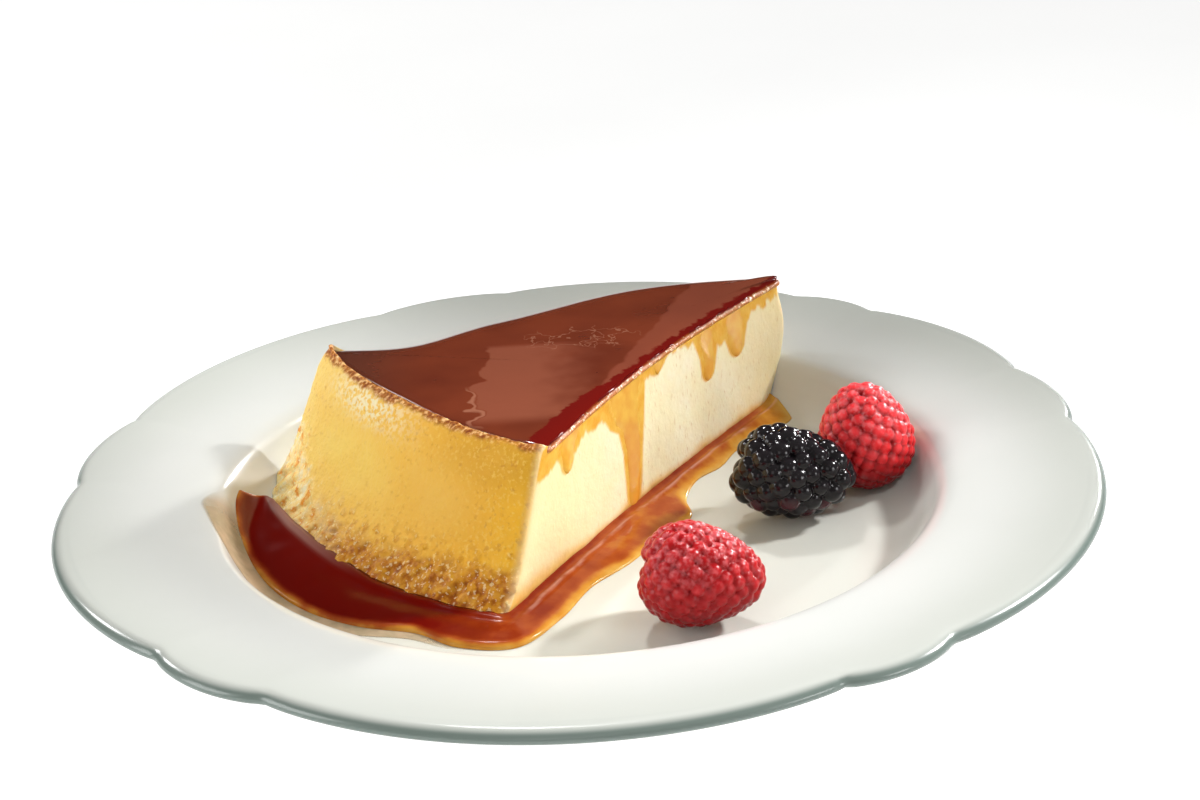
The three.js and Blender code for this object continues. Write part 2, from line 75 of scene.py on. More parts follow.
# Runs on the near cut, from the top down: height, distance from the tip, half-width.
RUNS = [
    [(30.6, 96.0, 8.0), (27.0, 96.3, 5.0), (24.0, 96.6, 2.9), (22.3, 96.7, 2.2), (20.9, 96.7, 1.7)],
    [(30.6, 70.9, 10.4), (25.7, 70.2, 9.2), (22.2, 69.4, 7.4), (19.9, 67.9, 5.3),
     (14.8, 67.9, 4.2), (8.1, 68.7, 3.3), (3.6, 69.4, 2.8), (1.3, 69.7, 2.5)],
    [(30.6, 51.5, 5.0), (28.4, 53.6, 2.4), (26.4, 54.8, 1.2)],
    [(30.6, 33.6, 6.0), (26.4, 33.2, 4.4), (23.0, 32.8, 3.4), (19.2, 33.4, 2.6), (16.9, 33.6, 2.0)],
    [(30.6, 20.9, 6.4), (25.5, 20.9, 4.9), (22.4, 20.8, 3.6), (20.0, 20.7, 2.8), (18.1, 20.6, 2.0)],
]
# Length over which a run closes to its rounded end.
RUN_END = 2.2
# Lower edge of the stain along the top of the near cut: distance from the tip, height.
STAIN_EDGE = [
    (0, 28.6), (4, 27.6), (9, 26.2), (13.5, 26.4), (16.5, 23.6), (28.5, 23.4), (37, 26.4),
    (45, 29.4), (51, 29.0), (55, 27.0), (61, 27.8), (80, 25.6), (88, 26.0), (92.5, 23.6),
    (100, 25.6), (109, 24.4),
]

# The pool round the foot: for each side, places along it, spread from the slice and level.
POOL = {
    "arc": [(0.12, 4.6, 2.8), (0.2, 8.4, 2.4), (0.3, 11.2, 1.9), (0.48, 14.4, 1.2),
            (0.63, 14.0, 1.0), (0.75, 12.2, 1.0), (0.86, 8.8, 1.1), (0.96, 10.4, 1.2)],
    "corner": [(1.0, 9.5, 1.2)],
    "near": [(118, 9.0, 1.2), (104, 8.4, 1.1), (92, 10.8, 1.0), (80, 11.4, 0.9), (67, 12.6, 0.8),
             (60, 7.6, 0.8), (50, 5.0, 0.9), (42, 6.4, 0.9), (34, 5.4, 0.9), (24, 5.4, 0.9),
             (13, 8.6, 1.0), (7, 7.0, 1.0)],
}
SAUCE_FILM = 0.8

RASPBERRY = {"pitch": 2.5, "drupelet": 1.75, "taper": 0.36, "jitter": 0.07, "merge": 0.16,
             "fill": 0.16, "base": 0.97}
FRONT_RASPBERRY = SimpleNamespace(
    **RASPBERRY, length=25.6, width=20.6, seed=7, x=23.4, y=-48.6, lean=97, turn=-4)
BACK_RASPBERRY = SimpleNamespace(
    **RASPBERRY, length=24.0, width=21.2, seed=19, x=63.0, y=10.0, lean=-9, turn=10)
BRAMBLE = SimpleNamespace(
    pitch=3.5, drupelet=2.55, taper=0.14, jitter=0.16, merge=0.1, fill=0.08, base=0.94,
    length=25.4, width=19.2, seed=31, x=45.8, y=-3.0, lean=96, turn=-8)

# Spots: name, azimuth, elevation, distance, target, half angle, radius, power.
SPOTS = [
    ("key", 20, 35, 1.3, (-0.024, -0.078, 0), 6.8, 0.075, 85),
    ("low_window", 54, 15, 1.4, (-0.07, -0.02, 0.02), 6.6, 0.08, 66),
    ("top", 100, 52, 1.0, (0.036, -0.058, 0), 4.3, 0.06, 25),
    ("top_left", 100, 52, 1.0, (-0.076, 0.054, 0.012), 3.4, 0.03, 30),
    ("right_patch", -60, 55, 1.0, (0.08, 0.005, 0.017), 1.9, 0.02, 9),
]
# Square lights that look at the origin: name, azimuth, elevation, distance, size, power.
SQUARE_LIGHTS = [
    ("front", 195, 18, 1.5, 0.8, 10.6),
    ("fill", 262, 30, 1.6, 0.6, 1.4),
    ("cut_fill", -35, 15, 1.5, 0.4, 4.7),
    ("left", 150, 32, 1.4, 0.22, 4),
]

# ---- numbers and noise


def lerp(a, b, t):
    return a + (b - a) * t


def smoothstep(value, low, high):
    t = clip((value - low) / (high - low), 0, 1)
    return t * t * (3 - 2 * t)


def hump(value, centre, half_width):
    """A smooth hump, 1 at the centre and 0 from half_width outwards."""
    distance = np.minimum(np.abs(value - centre) / half_width, 1)
    return 0.5 + 0.5 * np.cos(pi * distance)


def rounded(share):
    """Rises from 0 to 1 along a quarter circle as a share does."""
    return np.sqrt(1 - (1 - clip(share, 0, 1)) ** 2)


def along(values, s):
    """A value running through far, middle and near as s goes from 0 to 1."""
    far, middle, near = values
    first = lerp(far, middle, smoothstep(s, 0, 0.5))
    return where(s < 0.5, first, lerp(middle, near, smoothstep(s, 0.5, 1)))


def hashed(cells, seed):
    """A fixed random number from -1 to 1 for each whole-numbered cell."""
    mixed = cells[..., 0] * 73856093 ^ cells[..., 1] * 19349663 ^ cells[..., 2] * 83492791
    mixed = (mixed ^ (seed * 974711 + 12345)) & 0x7FFFFFFF
    mixed = ((mixed ^ (mixed >> 13)) * 1274126177) & 0x7FFFFFFF
    mixed = ((mixed ^ (mixed >> 15)) * 668265263) & 0x7FFFFFFF
    return ((mixed >> 7) & 0xFFFF) / 32767.5 - 1


def value_noise(points, size, seed):
    """Smooth noise from -1 to 1, with features of a size in millimetres."""
    scaled = points / size
    base = np.floor(scaled).astype(np.int64)
    part = smoothstep(scaled - base, 0, 1)
    total = 0
    for corner in itertools.product((0, 1), repeat=3):
        weight = np.prod(where(corner, part, 1 - part), axis=-1)
        total = total + weight * hashed(base + corner, seed)
    return total


def fractal_noise(points, size, seed, octaves=3):
    return sum(value_noise(points, size / 2 ** k, seed + k) / 2 ** k for k in range(octaves))


def lumps(points, size, seed):
    """Round lumps of a size in millimetres: 1 on a lump's middle, 0 in the creases."""
    scaled = points / size
    base = np.floor(scaled).astype(np.int64)
    nearest = 9.0
    for step in itertools.product((-1, 0, 1), repeat=3):
        cell = base + step
        jitter = stack([hashed(cell, seed + k) for k in range(3)], axis=-1)
        centre = cell + 0.5 + 0.38 * jitter
        nearest = np.minimum(nearest, ((scaled - centre) ** 2).sum(axis=-1))
    return clip(1 - nearest / 0.5, 0, 1)


# ---- meshes


def loft(rings):
    """Closed skin over equal rings of points, each end drawn together at its mean point."""
    rows, columns, _ = rings.shape
    ends = stack([rings[0].mean(axis=0), rings[-1].mean(axis=0)])
    points = concatenate([rings.reshape(-1, 3), ends])
    low = (rows - 1) * columns
    here = np.arange(low).reshape(-1, columns)
    right = np.roll(here, -1, axis=1)
    quads = stack([here, right, right + columns, here + columns], axis=-1)
    faces = quads.reshape(-1, 4).tolist()
    first, last = rows * columns, rows * columns + 1
    for column in range(columns):
        after = (column + 1) % columns
        faces.append([first, after, column])
        faces.append([last, low + column, low + after])
    return points, faces


def make_object(name, points, faces, masks=None):
    """A smooth mesh object from millimetre points, with masks, 0 where they have no value."""
    mesh = bpy.data.meshes.new(name)
    mesh.from_pydata((points * MM).tolist(), [], faces)
    mesh.validate()
    body = bmesh.new()
    body.from_mesh(mesh)
    if body.calc_volume(signed=True) < 0:
        mesh.flip_normals()
    body.free()
    mesh.shade_smooth()
    for key, values in (masks or {}).items():
        values = np.ravel(values).astype(np.float32)
        layer = mesh.attributes.new(key, "FLOAT", "POINT")
        layer.data.foreach_set("value", np.pad(values, (0, len(points) - len(values))))
    obj = bpy.data.objects.new(name, mesh)
    scene.collection.objects.link(obj)
    return obj


def lifted(plan, height):
    """Points in plan at heights above the table."""
    tall = np.broadcast_to(height, plan.shape[:-1])[..., None]
    return concatenate([plan, tall], axis=-1)


def sheet_object(name, plan, low, high, masks):
    """A closed thin body over points in plan, between low and high surfaces."""
    points, faces = loft(concatenate([lifted(plan, high), lifted(plan, low)[:, ::-1]], axis=1))
    both = {}
    for key, values in masks.items():
        values = np.broadcast_to(values, low.shape)
        both[key] = concatenate([values, values[:, ::-1]], axis=1)
    return make_object(name, points, faces, both)


def dress(obj, material, slot, *nodes):
    """Gives a piece its material and hides the nodes it replaces; the slot is not used."""
    obj.data.materials.clear()
    obj.data.materials.append(material)
    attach(obj, "root")
    if nodes:
        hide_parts(*nodes)


# ---- shader kit


class Nodes:
    """Short calls that add nodes to a material or world."""

    def __init__(self, owner):
        owner.use_nodes = True
        self.tree = owner.node_tree
        self.tree.nodes.clear()

    def put(self, value, socket):
        if isinstance(value, bpy.types.NodeSocket):
            self.tree.links.new(value, socket)
        elif isinstance(value, tuple) and socket.type == "RGBA":
            socket.default_value = (*value, 1)
        else:
            socket.default_value = value

    def add(self, kind, inputs=None, **settings):
        """A new node with its settings, and a socket or a value for each input."""
        node = self.tree.nodes.new("ShaderNode" + kind)
        for key, value in settings.items():
            setattr(node, key, value)
        for key, value in (inputs or {}).items():
            self.put(value, node.inputs[key])
        return node

    def math(self, operation, a, b=0.0):
        return self.add("Math", {0: a, 1: b}, operation=operation).outputs["Value"]

    def product(self, first, *others):
        for other in others:
            first = self.math("MULTIPLY", first, other)
        return first

    def step(self, value, low, high, to_low=0.0, to_high=1.0):
        """Maps a value smoothly from low..high to to_low..to_high."""
        node = self.add("MapRange", {"Value": value, "From Min": low, "From Max": high,
                                     "To Min": to_low, "To Max": to_high},
                        interpolation_type="SMOOTHSTEP")
        return node.outputs["Result"]


class Shader(Nodes):
    """The nodes of a material."""

    def __init__(self, name):
        self.material = bpy.data.materials.new(name)
        super().__init__(self.material)
        self.surface = self.add("BsdfPrincipled")
        self.add("OutputMaterial", {"Surface": self.surface.outputs["BSDF"]})
        self.place = self.add("TexCoord").outputs["Object"]

    def finish(self, **values):
        """Sets the surface's sockets, an underscore standing for each space."""
        for key, value in values.items():
            self.put(value, self.surface.inputs[key.replace("_", " ")])
        return self.material

    def mask(self, name):
        return self.add("Attribute", attribute_name=name).outputs["Fac"]

    def stretched(self, x, y, z):
        return self.add("Mapping", {"Vector": self.place, "Scale": (x, y, z)}).outputs["Vector"]

    def texture(self, kind, size, vector=None, **settings):
        """A texture with features of a size in millimetres."""
        inputs = {"Vector": vector or self.place, "Scale": 1 / (size * MM)}
        return self.add(kind, inputs, **settings)

    def noise(self, size, detail=3.0, vector=None, distortion=0.0):
        """Noise from 0 to 1."""
        node = self.texture("TexNoise", size, vector)
        self.put(detail, node.inputs["Detail"])
        self.put(distortion, node.inputs["Distortion"])
        return node.outputs["Fac"]

    def warped(self, size, amount):
        """The place, pushed about by noise up to an amount in millimetres."""
        colour = self.texture("TexNoise", size).outputs["Color"]
        shift = self.add("VectorMath", {0: colour, "Scale": amount * MM}, operation="SCALE")
        moved = self.add("VectorMath", {0: self.place, 1: shift.outputs[0]}, operation="ADD")
        return moved.outputs[0]

    def along(self, origin, way):
        """Distance in plan from an origin along a way, in millimetres."""
        node = self.add("VectorMath", {0: self.place, 1: (way[0] / MM, way[1] / MM, 0)},
                        operation="DOT_PRODUCT")
        return self.math("SUBTRACT", node.outputs["Value"], float(np.dot(origin, way)))

    def reach(self, centre, radii):
        """Square of the distance in plan from an ellipse's centre, 1 on the ellipse."""
        parts = [self.math("POWER", self.math("DIVIDE", self.along(centre, way), float(r)), 2.0)
                 for way, r in zip(((1, 0), (0, 1)), radii)]
        return self.math("ADD", *parts)

    def height(self):
        """Height above the table, in millimetres."""
        split = self.add("SeparateXYZ", {"Vector": self.place})
        return self.product(split.outputs["Z"], 1 / MM)

    def ramp(self, factor, *stops):
        """A colour ramp from (place, colour) stops."""
        node = self.add("ValToRGB", {"Fac": factor})
        elements = node.color_ramp.elements
        while len(elements) < len(stops):
            elements.new(0.5)
        for element, (position, colour) in zip(elements, stops):
            element.position = position
            element.color = (*colour, 1)
        return node.outputs["Color"]

    def layers(self, colour, *coats):
        """Lays coats over a colour, each masked by the product of its factors."""
        for coat, *factors in coats:
            mask = self.product(*factors)
            colour = self.add("Mix", {0: mask, 6: colour, 7: coat}, data_type="RGBA").outputs[2]
        return colour

    def bump(self, height, depth, **normal):
        """Raises the surface by a height from 0 to 1, times a depth in millimetres."""
        node = self.add("Bump", {"Height": height, "Strength": 1.0, "Distance": depth * MM,
                                 **normal})
        return node.outputs["Normal"]


# ---- plate


def plate_top():
    """The upper surface from the centre out to the top of the lip: radius and height."""
    p = PLATE
    floor, low = p.floor_radius, p.floor_height
    shoulder, high = p.shoulder_radius, p.shoulder_height
    inner = p.rim_radius - p.lip_width
    return [
        (0, low), (floor * 0.5, low), (floor, low), (floor + 4.2, low + 0.6),
        (floor + 7.3, low + 2.7), (shoulder - 3, low + 6.6), (shoulder - 1.4, high - 1.9),
        (shoulder + 1, high - 0.4), (shoulder + 4.5, high + 0.3),
        (lerp(shoulder, inner, 0.6), high + 1.6), (inner, p.rim_height),
    ]


def plate_under():
    """The rolled lip, the underside and the foot ring, from the lip inwards."""
    p = PLATE
    rim, top = p.rim_radius, p.rim_height
    shoulder, high = p.shoulder_radius, p.shoulder_height - p.thickness
    inner, outer = p.foot_radius - p.foot_width / 2, p.foot_radius + p.foot_width / 2
    return [
        (rim - p.lip_width * 0.4, top - p.lip_drop * 0.15), (rim, top - p.lip_drop),
        (rim - 0.9, top - p.lip_drop - 1.3), (rim - p.lip_width, top - p.thickness * 0.8),
        (shoulder + 5, high), (shoulder + 1.2, high - 3), (shoulder - 3, p.floor_height + 0.6),
        (p.floor_radius + 3, p.foot_height + 0.2), (outer + 0.6, p.foot_height - 0.2),
        (outer, 0), (inner, 0), (inner - 0.6, p.foot_height), (inner * 0.5, p.foot_height),
        (0, p.foot_height),
    ]


def rounded_line(points, rounds=3):
    """Rounds an open line by cutting its corners again and again."""
    line = array(points, float)
    for _ in range(rounds):
        start, end = line[:-1], line[1:]
        cut = stack([lerp(start, end, 0.25), lerp(start, end, 0.75)], axis=1)
        line = concatenate([line[:1], cut.reshape(-1, 2), line[-1:]])
    return line


TOP_LINE = rounded_line(plate_top())


def plate_height(radius):
    """Height of the plate's upper surface at a radius from its centre."""
    return np.interp(radius, TOP_LINE[:, 0], TOP_LINE[:, 1])


def lobe_swell(angle):
    """How far the rim stands out or in at an angle in degrees from +X."""
    starts = array(PLATE.notches)
    turned = np.mod(angle - starts[0], 360) + starts[0]
    lobe = np.searchsorted(starts, turned, side="right") - 1
    span = np.diff(starts, append=starts[0] + 360)[lobe]
    share = (turned - starts[lobe]) / span
    crest = where(span > PLATE.long_span, PLATE.long_lobe, PLATE.short_lobe)
    return lerp(-PLATE.notch_depth, crest, np.sin(pi * share) ** 0.65)


def plate_mesh():
    columns = 432
    line = rounded_line(plate_top() + plate_under())[1:-1]
    angle = np.arange(columns) * 360 / columns
    radius, height = line[:, :1], line[:, 1:]
    lobed = radius + lobe_swell(angle) * smoothstep(radius, PLATE.shoulder_radius + 4,
                                                    PLATE.rim_radius)
    turn = np.radians(angle)
    return loft(stack([lobed * np.cos(turn), lobed * np.sin(turn),
                          np.broadcast_to(height, lobed.shape)], axis=2))


def porcelain():
    s = Shader("porcelain")
    cloud = s.noise(38, 2)
    height = s.height()
    bare = s.step(height, 0.5, 0.15)
    reach = s.reach((0, 0), (PLATE.rim_radius, PLATE.rim_radius))
    under = s.step(height, PLATE.rim_height - 0.03, PLATE.rim_height - 0.9)
    colour = s.layers(
        s.ramp(cloud, (0.3, (0.66, 0.67, 0.64)), (0.7, (0.685, 0.69, 0.665))),
        ((0.6, 0.55, 0.47), bare),
        ((0.7, 0.68, 0.63), s.step(s.noise(1.6, 1), 0.74, 0.82), 0.2),
        # Yellower in the well: painted warm shade.
        ((0.665, 0.67, 0.6), s.step(reach, 0.48, 0.36, 0, 0.7)),
        # Greyer towards the rim: painted shade.
        ((0.58, 0.6, 0.55), s.step(reach, 0.6, 0.95, 0, 0.7)),
        # A dark green-grey band on the lip's outer roll: painted shade.
        ((0.1, 0.15, 0.13), s.step(reach, 0.937, 0.955), under, 0.85))
    rough = s.math("ADD", s.product(bare, 0.6), s.step(cloud, 0.2, 0.8, 0.18, 0.24))
    return s.finish(Base_Color=colour, Roughness=rough, Normal=s.bump(s.noise(16, 2), 0.15),
                    IOR=1.5)


# ---- slice


def heading(angle):
    return array([cos(angle), sin(angle)])


NEAR_WAY = heading(SLICE.near_cut)
FAR_WAY = heading(SLICE.far_cut)
NEAR_OUT = heading(SLICE.near_cut + pi / 2)
FAR_OUT = heading(SLICE.far_cut - pi / 2)
TIP_WAY = -heading((SLICE.far_cut + SLICE.near_cut) / 2)
HALF_ANGLE = (SLICE.near_cut - SLICE.far_cut) / 2

ARC, NEAR, FAR = range(3)
SIDE_ROWS = 108


def crust_wave(s, height):
    """The crust's broad lumps, strongest at the foot."""
    band = 1 - smoothstep(height, SLICE.crust_height * 0.4, SLICE.crust_height)
    wave = np.sin(s * 61 + height * 0.5) + np.sin(s * 103 - height * 0.9 + 1.3)
    return SLICE.crust_relief * band * wave * 0.5


def side_radius(s, height):
    """Radius of the outer side from the tip, s from the far corner to the near one."""
    above = maximum(height, 0)
    drop = SLICE.glaze_top - above
    far, near = SLICE.corner_rounding
    return (along(SLICE.rim_radius, s)
            + along(SLICE.draft, s) * drop
            + along(SLICE.foot_flare, s) * exp(-above / along(SLICE.foot_flare_height, s))
            - SLICE.top_rounding * exp(-maximum(drop, 0) / SLICE.top_rounding)
            - far * exp(-s / SLICE.corner_share)
            - near * exp((s - 1) / SLICE.corner_share)
            + crust_wave(s, above))


def cut_point(kind, distance, height, out=0.0):
    """A point in plan on one of the two cuts, at a distance from the tip."""
    if kind == NEAR:
        share = clip(distance / side_radius(1.0, height), 0, 1)
        rise = clip(height / SLICE.glaze_top, 0, 1)
        bow = -lerp(*SLICE.near_bow, rise) * np.sin(pi * share)
        way, across = NEAR_WAY, NEAR_OUT
    else:
        share = clip(distance / side_radius(0.0, height), 0, 1)
        bow = SLICE.far_bow[0] * hump(share, 0.3, 0.42) - SLICE.far_bow[1] * hump(share, 0.84, 0.2)
        way, across = FAR_WAY, FAR_OUT
    bulge = SLICE.bulge
    swell = bulge.out * hump(height, bulge.height, bulge.half_height)
    return (SLICE.tip + outer(distance, way) + outer(out + bow, across)
            + outer(swell * exp(-distance / bulge.reach), TIP_WAY))


def arc_point(s, height, out=0.0, cut_out=0.0):
    radius = side_radius(s, height)
    angle = lerp(SLICE.far_cut, SLICE.near_cut, s) + (2 * s - 1) * cut_out / radius
    reach = (radius + out)[..., None]
    return SLICE.tip + reach * stack([np.cos(angle), np.sin(angle)], axis=-1)


class Outline:
    """Columns round the slice: the arc from the far corner, the near cut, the far cut."""

    def __init__(self, arc_count, near_count, far_count):
        arc = linspace(0, 1, arc_count)
        near = 1 - np.arange(1, near_count + 1) / near_count
        far = np.arange(1, far_count) / far_count
        self.kind = np.repeat([ARC, NEAR, FAR], [len(arc), len(near), len(far)])
        self.share = concatenate([arc, near, far])
        self.around = concatenate([arc, np.ones(len(near)), np.zeros(len(far))])
        self.inset = where(self.kind == ARC, 0, (1 - self.share) * SLICE.rim_radius[1])
        self.corners = (0, arc_count - 1, arc_count + near_count - 1)

    def at(self, height, arc_out=0.0, cut_out=0.0):
        """Points in plan, at one height a column or at rows of them."""
        height = height + np.zeros(len(self.kind))
        points = np.zeros(height.shape + (2,))
        arc = self.kind == ARC
        points[..., arc, :] = arc_point(self.share[arc], height[..., arc], arc_out, cut_out)
        for kind, s in ((NEAR, 1.0), (FAR, 0.0)):
            chosen = self.kind == kind
            tall = height[..., chosen]
            distance = (side_radius(s, tall) + arc_out) * self.share[chosen]
            room = 0.8 * distance * tan(HALF_ANGLE)
            points[..., chosen, :] = cut_point(kind, distance, tall, maximum(cut_out, -room))
        return points


def at_height(points, height):
    """Points in plan lifted to heights above the plate's floor."""
    return lifted(points, height + PLATE.floor_height)


def ground_height(outline, gap):
    """For each column, the height where the slice's skin meets the plate."""
    low, high = -2.0, 26.0
    for _ in range(26):
        middle = (low + high) / 2
        radius = norm(outline.at(middle), axis=-1)
        under = middle + PLATE.floor_height < plate_height(radius) + gap
        low, high = where(under, middle, low), where(under, high, middle)
    return high


def rind_top(outline):
    """Height of the top edge: the rind on the outer side, the bed along the cuts."""
    rise = SLICE.rind_corner_rise * exp(-outline.around / 0.1)
    on_rind = 1 - smoothstep(outline.inset, 0.8, 1.5)
    return lerp(SLICE.bed_height, SLICE.rind_height + rise, on_rind)


def flan_rings(outline):
    """The skin from the plate up over the rind and in under the glaze."""
    ground = ground_height(outline, 0.1)
    top = rind_top(outline)
    rows = linspace(0, 1, SIDE_ROWS)[:, None]
    heights = lerp(ground, top - 0.45, rows)
    rings = [at_height(outline.at(heights), heights)]
    crown = [(0.12, -0.2), (0.35, -0.04), (0.6, 0.0), (0.85, -0.12), (1.0, -0.5)]
    for inset, drop in crown:
        shape = outline.at(SLICE.glaze_top, -inset, -0.35 * inset)
        rings.append(at_height(shape, top + drop)[None])
    inner = outline.at(SLICE.glaze_top, -1.05, -0.9)
    bed = np.minimum(SLICE.bed_height - 0.1, top - 0.5)
    middle = inner.mean(axis=0)
    for share in (1.0, 0.9, 0.6, 0.3):
        rings.append(at_height(lerp(middle, inner, share), bed)[None])
    return concatenate(rings)


def outward(rings):
    """Unit normals in plan of rows that run counter-clockwise."""
    tangent = np.roll(rings, -1, axis=1) - np.roll(rings, 1, axis=1)
    normal = stack([tangent[..., 1], -tangent[..., 0]], axis=-1)
    return normal / maximum(norm(normal, axis=-1, keepdims=True), 1e-9)


def soften_corners(rings, columns, rounds, reach):
    """Rounds upright edges by averaging each point near them with its neighbours."""
    count = rings.shape[1]
    weight = np.zeros(count)
    for column in columns:
        gap = np.abs((np.arange(count) - column + count // 2) % count - count // 2)
        weight = maximum(weight, 1 - smoothstep(gap, reach * 0.5, reach))
    for _ in range(rounds):
        mean = (np.roll(rings, 1, axis=1) + np.roll(rings, -1, axis=1)) / 2
        rings = lerp(rings, mean, 0.6 * weight[None, :, None])
    return rings


def run_shape(run, height):
    """Centre and half-width of a run at heights, the half-width 0 below its end."""
    high, centre, half = array(run)[::-1].T
    centre, half = (np.interp(height, high, values) for values in (centre, half))
    return centre, half * rounded((height - high[0]) / RUN_END)


def flan_masks(outline, rings):
    """Masks from 0 to 1: cut, browned, stained and light skin, and wet lumps that carry a painted
    highlight.
    """
    height = rings[..., 2] - PLATE.floor_height
    kind, share, around, inset = (
        np.broadcast_to(row, height.shape)
        for row in (outline.kind, outline.share, outline.around, outline.inset))
    side = 1.0 * (kind == ARC)
    length = SLICE.rim_radius[1] * (SLICE.near_cut - SLICE.far_cut)
    from_cut = where(kind == ARC, np.minimum(share, 1 - share) * length, -inset)
    cut = 1 - smoothstep(from_cut, -1.4, 2.2)

    wobble = fractal_noise(rings, 5, 3)
    crust_top = 6.2 + 9.0 * exp(-(share / 0.17) ** 2) + 1.5 * smoothstep(share, 0.55, 0.95)
    crust = side * (1 - smoothstep(height + 1.5 * wobble, crust_top - 1.6, crust_top + 1.6))
    sparse = side * (1 - smoothstep(height, crust_top, crust_top + 7))
    knob = 0.65 * lumps(rings, 2.6, 11) + 0.35 * lumps(rings, 1.3, 23)
    crust = maximum(crust, sparse * smoothstep(knob, 0.52, 0.7) * 0.8)
    rind = side * smoothstep(height + 0.7 * wobble, SLICE.rind_height - 1.2,
                             SLICE.rind_height - 0.3)

    distance = share * side_radius(1.0, height)
    column = stack([distance, np.full(height.shape, 3.0), height * 0.05], axis=-1)
    ragged = 1.1 * value_noise(column, 1.7, 91) + 0.8 * value_noise(column, 0.7, 93)
    edge = np.interp(distance, *array(STAIN_EDGE).T) + ragged
    stain = smoothstep(height, edge - 0.7, edge + 0.5)
    for run in RUNS:
        centre, half = run_shape(run, height)
        gap = np.abs(distance - centre)
        reach = where(half > 0, 1 - smoothstep(gap, half + 0.1, half + 0.9 + 0.3 * wobble), 0)
        stain = maximum(stain, reach)
    base = 1 - smoothstep(height + 0.7 * wobble, 1.5, 4.6 + 2.4 * smoothstep(distance, 88, 112))
    stain = where(kind == NEAR, maximum(stain, 0.9 * base), 0)
    far_edge = smoothstep(height + 1.3 * wobble, SLICE.bed_height - 4.4, SLICE.bed_height - 0.6)
    stain = where(kind == FAR, maximum(0.7 * far_edge, 0.5 * base), stain)
    return dict(
        cut=cut, crust=crust, knob=knob, rind=rind, stain=stain, around=around,
        # Wet lumps high on the left side, which the custard paints with a highlight.
        frost=side * hump(around, 0.36, 0.3) * hump(height, 28.5, 6.5),
        smooth=side * hump(around, 0.7, 0.26) * hump(height, 18, 12),
        sunny=side * hump(around, 0.36, 0.42) * hump(height, 17, 14),
        foot=1 - smoothstep(height + 0.4 * wobble, 1.3, 2.9))


def flan_relief(rings, masks):
    """How far crust, pores and rind stand out from the plain form."""
    crust, rind, cut, frost = (masks[key] for key in ("crust", "rind", "cut", "frost"))
    toasted = 0.5 * fractal_noise(rings, 1.5, 41, 2)
    fine = fractal_noise(rings, 1.3, 57, 2)
    tall = lerp(0.55, 1.0, smoothstep(masks["around"], 0.2, 0.5))
    relief = crust * tall * (masks["knob"] - 0.38) + rind * 0.3 * toasted
    relief += (1 - cut) * (1 - crust) * 0.09 * fine + cut * 0.035 * fine
    return relief + frost * 0.16 * lumps(rings, 1.4, 67) + 0.12 * value_noise(rings, 13, 71)


def flan_object():
    outline = Outline(arc_count=250, near_count=215, far_count=96)
    rings = soften_corners(flan_rings(outline), outline.corners, rounds=14, reach=16)
    masks = flan_masks(outline, rings)
    relief = flan_relief(rings, masks)
    relief[SIDE_ROWS:] = 0
    relief[0] = 0
    rings[..., :2] += outward(rings) * relief[..., None]
    crown = slice(SIDE_ROWS - 1, SIDE_ROWS + 4)
    rings[crown, :, 2] += 0.24 * masks["rind"][crown] * fractal_noise(rings[crown], 1.5, 83, 2)
    return make_object("custard_slice", *loft(rings), masks)


